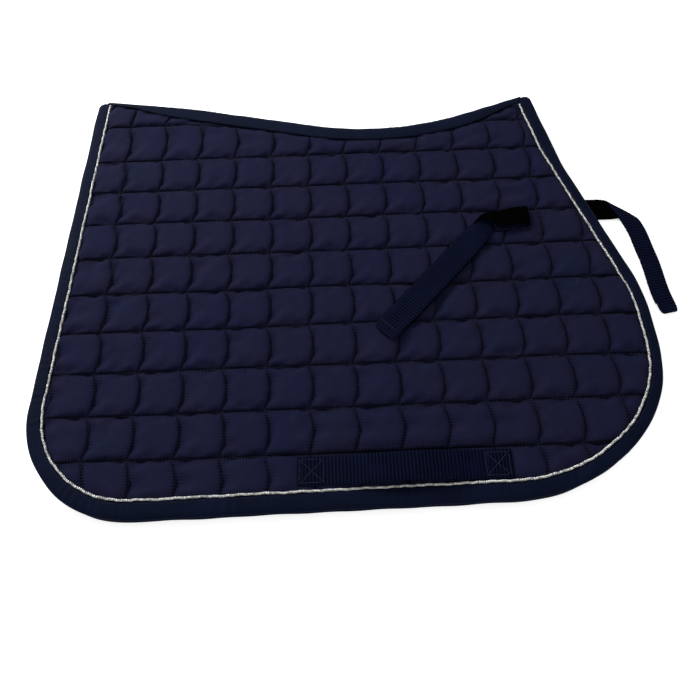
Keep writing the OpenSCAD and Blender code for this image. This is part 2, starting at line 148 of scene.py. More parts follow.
def tape_share():
    """The tape's inner edge, and its share of full width: the spine tape narrows to its ends."""
    full, base = loop(VISIBLE), loop(0)
    share = np.ones(LOOP_N)
    spine = np.arange(LOOP_N) > ARC_AT[6] + ARC_N[6]
    x = base[:, 0]
    rear = 0.30 + 0.70 * smooth((x + 285) / 190)
    front = 0.45 + 0.55 * smooth((285 - x) / 90)
    share[spine] = np.minimum(rear, front)[spine]
    return base + (full - base) * share[:, None], share


TAPE_EDGE, TAPE_SHARE = tape_share()


def inside_distance(xy, poly):
    """Distance inwards from a closed line of points; negative outside it."""
    poly = poly[::2]
    nxt = np.roll(poly, -1, 0)
    flat = xy.reshape(-1, 2)
    best = np.full(len(flat), 1e9)
    crossings = np.zeros(len(flat), int)
    for a, b in zip(poly, nxt):
        d = b - a
        t = np.clip(((flat - a) @ d) / (d @ d), 0, 1)
        best = np.minimum(best, np.hypot(*(flat - a - t[:, None] * d).T))
        over = (a[1] > flat[:, 1]) != (b[1] > flat[:, 1])
        if over.any():
            at = a[0] + (flat[:, 1] - a[1]) / (d[1] if d[1] else 1e-9) * d[0]
            crossings += over & (flat[:, 0] < at)
    return np.where(crossings % 2 == 1, best, -best).reshape(xy.shape[:-1])


# ---------- materials ----------


class Paint:
    """A Principled material, built up node by node."""

    def __init__(self, name, rough, **sockets):
        self.mat = bpy.data.materials.new(name)
        self.mat.use_nodes = True
        self.nodes, self.links = self.mat.node_tree.nodes, self.mat.node_tree.links
        self.bsdf = self.nodes["Principled BSDF"]
        self.bsdf.inputs["Roughness"].default_value = rough
        for key, value in sockets.items():
            self.bsdf.inputs[key.replace("_", " ")].default_value = value
        self.coords = self.nodes.new("ShaderNodeTexCoord")
        self.height = None

    def node(self, kind, props=None, **inputs):
        n = self.nodes.new("ShaderNode" + kind)
        for key, value in (props or {}).items():
            setattr(n, key, value)
        for key, value in inputs.items():
            numbered = key[0] == "i" and key[1:].isdigit()
            socket = n.inputs[int(key[1:]) if numbered else key.replace("_", " ")]
            if isinstance(value, bpy.types.NodeSocket):
                self.links.new(value, socket)
            else:
                socket.default_value = value
        return n

    def noise(self, scale, detail=3.0, vector=None, **inputs):
        return self.node("TexNoise", Vector=vector or self.coords.outputs["Object"],
                         Scale=scale, Detail=detail, **inputs).outputs["Fac"]

    def ramp(self, fac, stops):
        n = self.node("ValToRGB", Fac=fac)
        while len(n.color_ramp.elements) < len(stops):
            n.color_ramp.elements.new(0.5)
        for e, (at, colour) in zip(n.color_ramp.elements, stops):
            e.position = at
            e.color = (*colour, 1)
        return n.outputs["Color"]

    def math(self, operation, a, b=0.0):
        return self.node("Math", {"operation": operation}, i0=a, i1=b).outputs[0]

    def between(self, value, low, high):
        return self.node("MapRange", Value=value, i3=low, i4=high).outputs[0]

    def mix(self, fac, a, b):
        n = self.node("Mix", {"data_type": "RGBA"}, Factor=fac)
        for socket, value in ((n.inputs[6], a), (n.inputs[7], b)):
            if isinstance(value, bpy.types.NodeSocket):
                self.links.new(value, socket)
            else:
                socket.default_value = (*value, 1)
        return n.outputs[2]

    def bands(self, vector, pitch, direction="X", distortion=0.0):
        """Sine bands across one axis of vector, pitch in metres apart."""
        return self.node("TexWave", {"bands_direction": direction}, Vector=vector,
                         Scale=math.pi / 10 / pitch, Distortion=distortion).outputs["Fac"]

    def bump(self, height, distance, strength=1.0):
        inputs = {"Height": height, "Distance": distance, "Strength": strength}
        if self.height is not None:
            inputs["Normal"] = self.height
        self.height = self.node("Bump", **inputs).outputs["Normal"]

    def done(self, colour, rough=None):
        self.links.new(colour, self.bsdf.inputs["Base Color"])
        if rough is not None:
            self.links.new(rough, self.bsdf.inputs["Roughness"])
        if self.height is not None:
            self.links.new(self.height, self.bsdf.inputs["Normal"])
        return self.mat


def tint(colour, share):
    return tuple(share * c for c in colour)


def twill(name, tones):
    p = Paint(name, 0.85, Specular_IOR_Level=0.03, Sheen_Weight=0.018, Sheen_Roughness=0.4,
              Sheen_Tint=(0.5, 0.52, 0.75, 1))
    xyz = p.coords.outputs["Object"]
    patches = p.noise(11.0, 2.0, Distortion=0.6)
    fleck = p.noise(900.0, 2.0)
    colour = p.ramp(patches, [(0.34, tones[0]), (0.47, tones[1]), (0.56, tones[2]), (0.68, tones[3])])
    colour = p.mix(p.math("MULTIPLY", fleck, 0.5), colour, tint(tones[1], 1.8))
    worn = p.ramp(p.noise(160.0, 4.0), [(0.60, (0, 0, 0)), (0.78, (1, 1, 1))])
    colour = p.mix(p.math("MULTIPLY", worn, 0.38), colour, tuple(1.9 * c + 0.004 for c in tones[0]))
    row, column, near_row, near_column = (
        p.node("Attribute", {"attribute_name": n}).outputs["Fac"]
        for n in ("row", "column", "near_row", "near_column"))
    teeth_x = p.bands(xyz, 0.0031, "X", 0.8)
    teeth_y = p.bands(xyz, 0.0031, "Y", 0.8)
    bites = p.math("MAXIMUM", p.math("MULTIPLY", near_row, teeth_x), p.math("MULTIPLY", near_column, teeth_y))
    # Painted shade: the seam grooves, the puckers beside the stitches and the cloth along the binding are
    # darkened almost to black.
    painted_groove_shade = p.math("MAXIMUM", row, p.math("MULTIPLY", column, 0.92))
    painted_groove_shade = p.math("MAXIMUM", painted_groove_shade, p.math("MULTIPLY", bites, 0.9))
    colour = p.mix(p.math("MULTIPLY", painted_groove_shade, 0.93), colour, tint(tones[3], 0.04))
    p.bump(bites, -0.0007, 0.8)
    turned = p.node("Mapping", Vector=xyz, Rotation=(0, 0, math.radians(63))).outputs[0]
    p.bump(p.bands(turned, 0.0011, distortion=0.6), 0.00012, 0.5)
    p.bump(p.noise(120.0, 4.0), 0.0010, 0.8)
    rough = p.between(fleck, 0.74, 0.97)
    return p.done(colour, rough)


def tape(name, base, rib=0.0009):
    p = Paint(name, 0.7, Specular_IOR_Level=0.03, Sheen_Weight=0.008, Sheen_Roughness=0.35,
              Sheen_Tint=(0.45, 0.55, 0.8, 1))
    uv = p.coords.outputs["UV"]
    soft = p.noise(30.0, 3.0)
    colour = p.ramp(soft, [(0.3, tint(base, 0.75)), (0.7, tint(base, 1.3))])
    fine = p.noise(1400.0, 2.0)
    colour = p.mix(p.math("MULTIPLY", fine, 0.4), colour, tint(base, 1.8))
    p.bump(p.bands(uv, rib, "X"), 0.00010, 0.6)
    p.bump(p.noise(90.0, 5.0), 0.0006, 0.5)
    rough = p.between(soft, 0.55, 0.85)
    return p.done(colour, rough)


def webbing_paint(name, base):
    p = Paint(name, 0.65, Specular_IOR_Level=0.02, Sheen_Weight=0.003, Sheen_Roughness=0.35,
              Sheen_Tint=(0.4, 0.5, 0.8, 1))
    uv = p.coords.outputs["UV"]
    ribs = p.bands(uv, 0.0036, "X", 0.3)
    warp = p.bands(uv, 0.0012, "Y", 0.5)
    wear = p.noise(35.0, 4.0)
    # Painted shade and highlight: the ribs' colour runs from dark valleys to light crests.
    colour = p.mix(ribs, tint(base, 0.20), tint(base, 2.1))
    colour = p.mix(p.math("MULTIPLY", warp, 0.35), colour, tint(base, 0.6))
    colour = p.mix(p.math("MULTIPLY", p.ramp(wear, [(0.5, (0, 0, 0)), (0.75, (1, 1, 1))]), 0.35),
                   colour, tint(base, 2.2))
    p.bump(ribs, 0.0004, 0.8)
    p.bump(warp, 0.0002, 0.6)
    rough = p.between(wear, 0.5, 0.8)
    return p.done(colour, rough)


def hook_paint(name):
    p = Paint(name, 0.9, Specular_IOR_Level=0.0, Sheen_Weight=0.001, Sheen_Roughness=0.3,
              Sheen_Tint=(0.5, 0.5, 0.6, 1))
    fuzz = p.noise(700.0, 4.0)
    colour = p.ramp(fuzz, [(0.35, (0.0003, 0.0003, 0.0004)), (0.72, (0.0016, 0.0016, 0.0019))])
    p.bump(fuzz, 0.0006, 1.0)
    p.bump(p.node("TexVoronoi", Vector=p.coords.outputs["Object"], Scale=900.0).outputs[0], 0.0003, 0.6)
    return p.done(colour)


def cord_paint(name):
    p = Paint(name, 0.38, Metallic=0.35, Specular_IOR_Level=0.6)
    sparkle = p.noise(520.0, 3.0)
    colour = p.ramp(sparkle, [(0.28, (0.08, 0.08, 0.085)), (0.45, (0.42, 0.42, 0.41)),
                              (0.6, (0.85, 0.85, 0.82))])
    p.bump(p.noise(1800.0, 3.0), 0.0002, 0.7)
    rough = p.between(sparkle, 0.25, 0.6)
    return p.done(colour, rough)


def thread_paint(name, base):
    p = Paint(name, 0.55, Specular_IOR_Level=0.15, Sheen_Weight=0.03)
    fleck = p.noise(1500.0, 2.0)
    colour = p.ramp(fleck, [(0.3, tint(base, 0.55)), (0.7, tint(base, 1.45))])
    p.bump(p.bands(p.coords.outputs["UV"], 0.0006, "X"), 0.0001, 0.6)
    return p.done(colour)


def wadding_paint(name):
    p = Paint(name, 0.95, Sheen_Weight=0.4, Sheen_Roughness=0.6)
    puff = p.noise(180.0, 6.0)
    colour = p.ramp(puff, [(0.3, (0.6, 0.59, 0.55)), (0.7, (0.82, 0.81, 0.78))])
    p.bump(puff, 0.0015, 0.9)
    return p.done(colour)


def floor_paint(name):
    p = Paint(name, 0.85, Specular_IOR_Level=0.1, Emission_Color=(1, 1, 1, 1), Emission_Strength=0.60)
    colour = p.ramp(p.noise(6.0, 3.0), [(0.3, (0.93, 0.93, 0.93)), (0.7, (0.95, 0.95, 0.95))])
    p.bump(p.noise(300.0, 3.0), 0.0001, 0.2)
    return p.done(colour)


COVER = twill("cotton_twill", [(0.0066, 0.0082, 0.0262), (0.0076, 0.0084, 0.0250),
                               (0.0090, 0.0086, 0.0240), (0.0064, 0.0088, 0.0252)])
LINING = twill("cotton_lining", [(0.0068, 0.0080, 0.0230), (0.0078, 0.0084, 0.0230),
                                 (0.0088, 0.0084, 0.0222), (0.0066, 0.0080, 0.0222)])
BINDING = tape("satin_binding", (0.0024, 0.0042, 0.0140))
SPINE = tape("spine_binding", (0.0030, 0.0052, 0.0152))
WEBBING = webbing_paint("ribbed_webbing", (0.0024, 0.0038, 0.0145))
HOOK = hook_paint("hook_and_loop")
SILVER = cord_paint("silver_cord")
THREAD = thread_paint("navy_thread", (0.034, 0.038, 0.078))
DARK_THREAD = thread_paint("dark_thread", (0.010, 0.013, 0.032))
WADDING = wadding_paint("polyester_wadding")


# ---------- mesh helpers ----------


def add_mesh(name, points, faces, material, uv=None):
    """points in millimetres; faces is a list of index tuples or an array of quads."""
    mesh = bpy.data.meshes.new(name)
    faces = faces.tolist() if isinstance(faces, np.ndarray) else faces
    mesh.from_pydata((np.asarray(points) * MM).tolist(), [], faces)
    mesh.validate()
    if uv is not None:
        layer = mesh.uv_layers.new(name="UVMap")
        index = np.zeros(len(mesh.loops), int)
        mesh.loops.foreach_get("vertex_index", index)
        layer.data.foreach_set("uv", (np.asarray(uv)[index] * MM).astype(np.float32).ravel())
    mesh.polygons.foreach_set("use_smooth", [True] * len(mesh.polygons))
    mesh.materials.append(material)
    obj = bpy.data.objects.new(name, mesh)
    bpy.context.scene.collection.objects.link(obj)
    return obj


def attach(obj, body, slot, *nodes, **bend):
    """Puts a piece on a body in place of the nodes, which it hides; given bend ends, it only bakes the
    piece's transform into its mesh. The slot is not used.
    """
    if bend:
        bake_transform(obj)
    else:
        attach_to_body(obj, body)
    if nodes:
        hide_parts(*nodes)


def tube_mesh(rows, uv=None, first=0):
    """Points, faces and uv of a closed profile swept along rows, an array (stations, profile, 3)."""
    s, m = rows.shape[:2]
    i = np.arange(s - 1)[:, None] * m
    j = np.arange(m)[None, :]
    k = (j + 1) % m
    quads = np.stack([i + j, i + k, i + m + k, i + m + j], -1).reshape(-1, 4) + first
    faces = quads.tolist()
    faces.append([first + v for v in range(m - 1, -1, -1)])
    faces.append([first + (s - 1) * m + v for v in range(m)])
    return rows.reshape(-1, 3), faces, (None if uv is None else uv.reshape(-1, 2))


def along(points):
    d = np.linalg.norm(np.diff(points, axis=0), axis=1)
    return np.concatenate([[0], np.cumsum(d)])


def at_height(path, w):
    return np.concatenate([path, np.full((len(path), 1), w)], 1)


def add_tube(name, rows, material, uv=None):
    if uv is None:
        u = along(rows[:, 0])
        v = along(rows[len(rows) // 2])
        uv = np.stack(np.meshgrid(u, v, indexing="ij"), -1)
    points, faces, uv = tube_mesh(rows, uv)
    return add_mesh(name, points, faces, material, uv)


def shell_mesh(grid, keep, lower):
    """Closes a sheet and its lower copy into one solid. grid and lower are (a, b, 3); keep marks cells."""
    a, b = grid.shape[:2]
    index = np.arange(a * b).reshape(a, b)
    q = np.stack([index[:-1, :-1], index[1:, :-1], index[1:, 1:], index[:-1, 1:]], -1)[keep]
    edges = np.concatenate([q[:, [k, (k + 1) % 4]] for k in range(4)])
    key = edges[:, 0] * (a * b) + edges[:, 1]
    back = edges[:, 1] * (a * b) + edges[:, 0]
    rim = edges[~np.isin(key, back)]
    side = np.stack([rim[:, 1], rim[:, 0], rim[:, 0] + a * b, rim[:, 1] + a * b], -1)
    faces = np.concatenate([q, q[:, ::-1] + a * b, side])
    points = np.concatenate([grid.reshape(-1, 3), lower.reshape(-1, 3)])
    used, new = np.unique(faces, return_inverse=True)
    return points[used], new.reshape(faces.shape), used


# ---------- stitches ----------


class Stitches:
    """Short raised stitches, gathered into one mesh."""

    RING = np.array([(0, 1), (0.8, 0), (0, -0.6), (-0.8, 0)], float)

    def __init__(self):
        self.points, self.faces, self.uv, self.count = [], [], [], 0

    def one(self, p, q, width, up=(0, 0, 1)):
        p, q, up = np.asarray(p, float), np.asarray(q, float), np.asarray(up, float)
        d = q - p
        length = np.linalg.norm(d)
        if length < 0.2:
            return
        d = d / length
        side = np.cross(d, up)
        side /= np.linalg.norm(side)
        up = np.cross(side, d)
        r = width / 2
        pts, uv = [p - up * r * 0.8], [(0, 0)]
        for t, k in ((0.14, 0.8), (0.5, 1.05), (0.86, 0.8)):
            c = p + d * length * t + up * r * 0.4 * math.sin(math.pi * t)
            for a, b in self.RING:
                pts.append(c + side * a * r * k + up * b * r * k)
                uv.append((length * t, a))
        pts.append(q - up * r * 0.8)
        uv.append((length, 0))
        n = self.count
        for k in range(4):
            j = (k + 1) % 4
            self.faces.append([n, n + 1 + j, n + 1 + k])
            for ring in (1, 5):
                self.faces.append([n + ring + k, n + ring + j, n + ring + 4 + j, n + ring + 4 + k])
            self.faces.append([n + 13, n + 9 + k, n + 9 + j])
        self.points += pts
        self.uv += uv
        self.count += 14

    def line(self, path, pitch=3.9, share=0.7, width=0.8, up=(0, 0, 1), lift=0.25, start=0.0):
        """Evenly spaced stitches along a path (n, 3)."""
        path = np.asarray(path, float)
        s = along(path)
        if s[-1] < pitch:
            return
        n = int((s[-1] - start) / pitch)
        lift = np.asarray(up, float) * lift
        at = lambda x: np.array([np.interp(x, s, path[:, k]) for k in range(3)])
        for k in range(n):
            a = start + k * pitch
            self.one(at(a) + lift, at(a + pitch * share) + lift, width, up)

    def add(self, name, material):
        return add_mesh(name, np.array(self.points), self.faces, material, np.array(self.uv))


# ---------- the quilted cloth ----------

CELLS_A = (-7, 9)
CELLS_B = (-7, 6)
COARSE = 8
MOST_MOVE = 3.0


def crowd(t):
    """Moves grid lines closer to the stitch lines, where the cloth turns most sharply."""
    return t - 0.75 * np.sin(TAU * t) / (TAU)


def quilt_grid(step):
    """Grid points that follow the rows and the bowed columns of stitches."""
    a = crowd(np.arange(CELLS_A[0] * step, CELLS_A[1] * step + 1) / step)
    b = crowd(np.arange(CELLS_B[0] * step, CELLS_B[1] * step + 1) / step)
    a, b = np.meshgrid(a, b, indexing="ij")
    x = COL_X + a * CELL_W + CELL_BOW * np.sin(math.pi * (b % 1))
    y = ROW_Y + b * CELL_H
    x = x + 0.9 * ripple(a * CELL_W, y, 150, 11)
    y = y + 0.8 * ripple(a * CELL_W, y, 170, 12)
    y = y + 10.0 * smooth((y - 185) / 45) * smooth((-40 - x) / 130)
    return a, b, np.stack([x, y], -1)


def rise(t, width):
    """Quarter-round rise from 0 at a seam to 1 at width away."""
    t = np.clip(t / width, 0, 1)
    return np.sqrt(np.clip(1 - (1 - t) ** 2, 0, 1))


def seam_distance(a, b):
    fa, fb = a % 1, b % 1
    return np.minimum(fa, 1 - fa) * CELL_W, np.minimum(fb, 1 - fb) * CELL_H


def puff_shape(a, b, edge, seed):
    """How high the cloth stands over its stitch lines, from 0 to about 1."""
    da, db = seam_distance(a, b)
    shape = rise(da + 0.5, 17) ** 0.9 * rise(db, 16)
    shape = shape * rise(edge - 2.5, 12)
    return shape * (1 + 0.10 * ripple(a * CELL_W, b * CELL_H, 80, seed))


def pocket_limit(xy, rects, floor_w):
    """Height allowed over each point, pressed down round the sewn webbing in rects."""
    limit = np.full(xy.shape[:-1], 99.0)
    for x0, y0, x1, y1 in rects:
        dx = np.maximum(np.maximum(x0 - xy[..., 0], xy[..., 0] - x1), 0)
        dy = np.maximum(np.maximum(y0 - xy[..., 1], xy[..., 1] - y1), 0)
        d = np.hypot(dx, dy)
        limit = np.minimum(limit, floor_w + 3.5 * rise(d - 1.0, 11) + np.where(d > 11.5, 50, 0))
    return limit


def settle(name, points, quads, pinned, cap):
    """Blows the cloth up between its pinned seams with Blender's cloth, and returns its points."""
    obj = add_mesh(name, points, quads, COVER)
    group = obj.vertex_groups.new(name="pinned")
    group.add(np.nonzero(pinned)[0].tolist(), 1.0, "REPLACE")
    cloth = obj.modifiers.new("Cloth", "CLOTH")
    s = cloth.settings
    s.quality = 4
    s.mass = 0.25
    s.tension_stiffness = s.compression_stiffness = 12
    s.shear_stiffness = 4
    s.bending_stiffness = 0.25
    s.use_pressure = True
    s.uniform_pressure_force = 4
    s.vertex_group_mass = "pinned"
    s.shrink_min = -0.035
    s.effector_weights.gravity = 0
    cloth.collision_settings.use_collision = False
    scene = bpy.context.scene
    for f in range(1, 21):
        scene.frame_set(f)
    shown = obj.evaluated_get(bpy.context.evaluated_depsgraph_get())
    out = np.zeros(len(points) * 3)
    shown.data.vertices.foreach_get("co", out)
    out = out.reshape(-1, 3) / MM
    mesh = obj.data
    bpy.data.objects.remove(obj)
    bpy.data.meshes.remove(mesh)
    scene.frame_set(1)
    move = out - points
    size = np.linalg.norm(move, axis=1)
    return points + move * np.minimum(1, cap / np.maximum(size, 1e-6))[:, None]


def finer(grid):
    """Twice as many points along both axes of (a, b, k), on a smooth curve through the old ones."""
    for axis in (0, 1):
        g = np.moveaxis(grid, axis, 0)
        pad = np.concatenate([2 * g[:1] - g[1:2], g, 2 * g[-1:] - g[-2:-1]])
        mid = (-pad[:-3] + 9 * pad[1:-2] + 9 * pad[2:-1] - pad[3:]) / 16
        out = np.empty((2 * len(g) - 1, *g.shape[1:]))
        out[::2], out[1::2] = g, mid
        grid = np.moveaxis(out, 0, axis)
    return grid


def quilted_sheet(seed, height, rects, ceiling):
    """The cover of one flap as (fine a, fine b, grid of x, y, w, distance from the binding)."""
    a, b, xy = quilt_grid(COARSE)
    edge = inside_distance(xy, TAPE_EDGE)
    w = GROOVE_W - 0.9 + (height * puff_shape(a, b, edge, seed))
    limit = pocket_limit(xy, rects, POCKET_W - 0.45)
    w = np.minimum(w, limit)
    grid = np.concatenate([xy, w[..., None]], -1)
    live = edge > -7
    cells = live[:-1, :-1] & live[1:, :-1] & live[1:, 1:] & live[:-1, 1:]
    index = np.arange(w.size).reshape(w.shape)
    q = np.stack([index[:-1, :-1], index[1:, :-1], index[1:, 1:], index[:-1, 1:]], -1)[cells]
    used, new = np.unique(q, return_inverse=True)
    da, db = seam_distance(a, b)
    pinned = (da < 0.1) | (db < 0.1) | (edge < 2) | (limit < 20)
    flat = grid.reshape(-1, 3)
    held = pinned.reshape(-1)[used]
    flat[used] = settle("settling", flat[used].copy(), new.reshape(-1, 4), held, MOST_MOVE)
    grid = flat.reshape(grid.shape)
    grid = finer(grid)
    fa, fb, _ = quilt_grid(COARSE * 2)
    xy = grid[..., :2]
    edge = inside_distance(xy, TAPE_EDGE)
    da, db = seam_distance(fa, fb)
    x, y = xy[..., 0], xy[..., 1]
    pucker = (np.sin(TAU * (x / 8.3 + 0.35 * ripple(x, y, 60, seed + 1))) * np.exp(-db / 7) * rise(db, 4)
              + 0.8 * np.sin(TAU * (y / 7.6 + 0.35 * ripple(x, y, 55, seed + 2)))
              * np.exp(-da / 6) * rise(da, 4))
    soft = 0.35 * ripple(x, y, 26, seed + 3) * rise(np.minimum(da, db), 10) * rise(edge - 3, 10)
    w = grid[..., 2] + 0.30 * pucker * rise(edge - 2, 6) + soft
    w = np.where(edge < 1.5, np.minimum(w, GROOVE_W - 0.25), w)
    w = np.minimum(w, pocket_limit(xy, rects, POCKET_W - 0.35))
    w = np.clip(w, GROOVE_W - 1.4, ceiling)
    return fa, fb, np.concatenate([xy, w[..., None]], -1), edge


def cells_in(edge, margin):
    live = edge > margin
    return live[:-1, :-1] & live[1:, :-1] & live[1:, 1:] & live[:-1, 1:]


def place(points, side):
    """Moves points from heights above the lining side to the right (1) or left (-1) flap."""
    out = np.array(points, float)
    out[..., 2] = RIGHT_Z + out[..., 2] if side > 0 else LEFT_Z - out[..., 2]
    return out


def turned_faces(faces, side):
    if side > 0:
        return faces
    return faces[:, ::-1] if isinstance(faces, np.ndarray) else [f[::-1] for f in faces]


def runs_where(ok, least=4):
    """Index runs, at least that long, over which ok holds."""
    runs = np.split(np.arange(len(ok)), np.nonzero(np.diff(ok.astype(int)))[0] + 1)
    return [run for run in runs if ok[run[0]] and len(run) >= least]


def lowest_near(w, reach):
    """The lowest of each value's neighbours within that many steps."""
    out = w.copy()
    for axis in (0, 1):
        source = out.copy()
        for k in range(-reach, reach + 1):
            out = np.minimum(out, np.roll(source, k, axis))
    return out


def lowered(grid, by):
    out = grid.copy()
    out[..., 2] -= by
    return out


def seam_attribute(obj, a, b, edge, used):
    """Stores how close each point is to a row or column of stitches, from 0 to 1, as masks for the painted
    shade in the seam grooves and along the binding.
    """
    da, db = seam_distance(a, b)
    # Painted shade: the row mask widens near the binding, where the grooves lie deeper in shade, and a dark
    # band runs along the binding's edge.
    ends = 1 + 0.9 * np.exp(-np.maximum(edge, 0) / 22)
    row, column = np.exp(-(db / (1.5 * ends)) ** 2), np.exp(-(da / 1.5) ** 2)
    row = np.maximum(row, 0.9 * np.exp(-np.maximum(edge, 0) / 2.2))
    near_row, near_column = np.exp(-db / 4.0), np.exp(-da / 4.0)
    values = {"row": row, "column": column, "near_row": near_row, "near_column": near_column}
    for name, value in values.items():
        layer = obj.data.attributes.new(name, "FLOAT", "POINT")
        value = np.concatenate([value.ravel(), value.ravel()])[used]
        layer.data.foreach_set("value", value.astype(np.float32))


FLAP_BODY = {1: "right_flap", -1: "left_flap"}
NAMES = {1: "right", -1: "left"}
LOOP_RECT = (LOOP_X, LOOP_Y - 15, LOOP_X + LOOP_L, LOOP_Y + 15)
RECTS = {1: [LOOP_RECT, (STRAP_X, RIGHT_STRAP_Y - 15, RIGHT_TURN_X + U_TURN_R, RIGHT_STRAP_Y + 15)],
         -1: [LOOP_RECT, (STRAP_X, LEFT_STRAP_Y - 15, 380, LEFT_STRAP_Y + 15)]}


def to_flap(obj, side, node, slot):
    """Puts a piece of the left flap on its body; a piece of the right flap only has its transform baked into
    its mesh.
    """
    if side > 0:
        z = RIGHT_Z * MM
        attach(obj, ("left_flap", "right_flap"), slot, "right_" + node, "right_" + node + "_top",
               start=(0, BEND_START_Y * MM, z), end=(0, BEND_END_Y * MM, z))
    else:
        attach(obj, "left_flap", slot, "left_" + node)


def build_flap(side):
    name = NAMES[side]
    seed = 40 if side > 0 else 80
    height = 4.2 if side > 0 else 3.7
    ceiling = 9.0 if side > 0 else 8.28
    fa, fb, grid, edge = quilted_sheet(seed, height, RECTS[side], ceiling)
    under = inside_distance(grid[..., :2], loop(0))

    # Cover: a 0.6 mm cloth.
    points, faces, used = shell_mesh(grid, cells_in(edge, -6.5), lowered(grid, COVER_T))
    cover = add_mesh(name + "_quilted_cover", place(points, side), turned_faces(faces, side), COVER)
    seam_attribute(cover, fa, fb, edge, used)
    to_flap(cover, side, "cover", "cover")

    # Lining: the same seams, with lower puffs on the horse's side.
    a, b, xy = quilt_grid(COARSE)
    inner = inside_distance(xy, loop(INNER_TAPE_W))
    da, db = seam_distance(a, b)
    shape = rise(da, 16) * rise(db, 15) * rise(inner - 1, 10)
    face_w = 1.55 - 1.15 * shape + 0.12 * ripple(xy[..., 0], xy[..., 1], 30, seed + 5) * shape
    lining_grid = np.concatenate([xy, face_w[..., None] + LINING_T], -1)
    points, faces, used = shell_mesh(lining_grid, cells_in(inner, -12), lowered(lining_grid, LINING_T))
    lining = add_mesh(name + "_quilted_lining", place(points, side), turned_faces(faces, side), LINING)
    seam_attribute(lining, a, b, inner, used)
    to_flap(lining, side, "lining", "lining")

    # Wadding: fills the space between the two cloths.
    coarse = grid[::2, ::2]
    top = coarse.copy()
    top[..., 2] = np.minimum(lowest_near(grid[..., 2], 3)[::2, ::2] - 1.3, 6.8)
    bottom = coarse.copy()
    bottom[..., 2] = face_w + 0.7
    top[..., 2] = np.maximum(top[..., 2], bottom[..., 2] + 0.3)
    # It stops short of the edge, and is left out where two seams cross and the cloths are drawn together.
    crossing = np.maximum(da, db) < 4
    crossing = crossing[:-1, :-1] | crossing[1:, :-1] | crossing[1:, 1:] | crossing[:-1, 1:]
    points, faces, _ = shell_mesh(top, cells_in(under[::2, ::2], 7.0) & ~crossing, bottom)
    wadding = add_mesh(name + "_wadding_layer", place(points, side), turned_faces(faces, side), WADDING)
    to_flap(wadding, side, "wadding", "wadding")

    # Quilting stitches along every row and column, on both faces.
    stitches = Stitches()
    up = (0, 0, side)
    down = (0, 0, -side)
    fine = COARSE * 2
    lines = [(grid[:, j], edge[:, j], lining_grid[:, j // 2]) for j in range(fine, grid.shape[1] - 1, fine)]
    lines += [(grid[i, :], edge[i, :], lining_grid[i // 2, :]) for i in range(fine, grid.shape[0] - 1, fine)]
    for line, inside, lining_line in lines:
        ok = inside > 3.5
        ok &= pocket_limit(line[:, :2], RECTS[side], 0) > 3.6
        for run in runs_where(ok):
            stitches.line(place(line[run], side), 3.1, 0.56, 0.75, up, 0.30)
            low = lining_line[run[0] // 2: run[-1] // 2 + 1].copy()
            low[:, 2] -= LINING_T
            stitches.line(place(low, side), 4.7, 0.66, 0.7, down, 0.12, 1.3)
    thread = stitches.add(name + "_quilting_stitches", THREAD)
    to_flap(thread, side, "quilting_thread", "thread")


for side in (1, -1):
    build_flap(side)

# ---------- binding, piping and their stitches ----------

BINDING_FROM = -7
BINDING_TO = int(ARC_AT[6]) + ARC_N[6] + 7


def stations(first, last):
    return np.arange(first, last + 1) % LOOP_N


def ring_rows(profile, first, last):
    """profile: (inset vector, w) pairs, going round the tape's section."""
    pick = stations(first, last)
    rows = np.zeros((len(pick), len(profile), 3))
    for k, (inset, w) in enumerate(profile):
        rows[:, k, :2] = loop(inset)[pick]
        rows[:, k, 2] = w
    return rows


def binding_profile():
    """Section of the folded binding, from its visible inner edge, over the edge, to the lining side."""
    outer = [(VISIBLE * f, w) for f, w in
             ((1.0, 5.55), (0.985, 6.15), (0.93, 6.5), (0.8, 6.62), (0.62, 6.7), (0.45, 6.68), (0.3, 6.5),
              (0.18, 6.1), (0.09, 5.4), (0.03, 4.4), (0.0, 3.2), (0.03, 1.9), (0.10, 0.75))]
    outer += [(INNER_TAPE_W * f, w) for f, w in
              ((0.25, 0.15), (0.45, 0.05), (0.7, 0.05), (0.9, 0.15), (1.0, 0.55))]
    inner = [(INNER_TAPE_W * f, w) for f, w in ((0.97, 1.0), (0.6, 0.85), (0.3, 0.95))]
    inner += [(VISIBLE * f, w) for f, w in
              ((0.12, 1.5), (0.075, 3.2), (0.12, 4.8), (0.3, 5.5), (0.6, 5.6), (0.96, 5.45))]
    return outer, inner


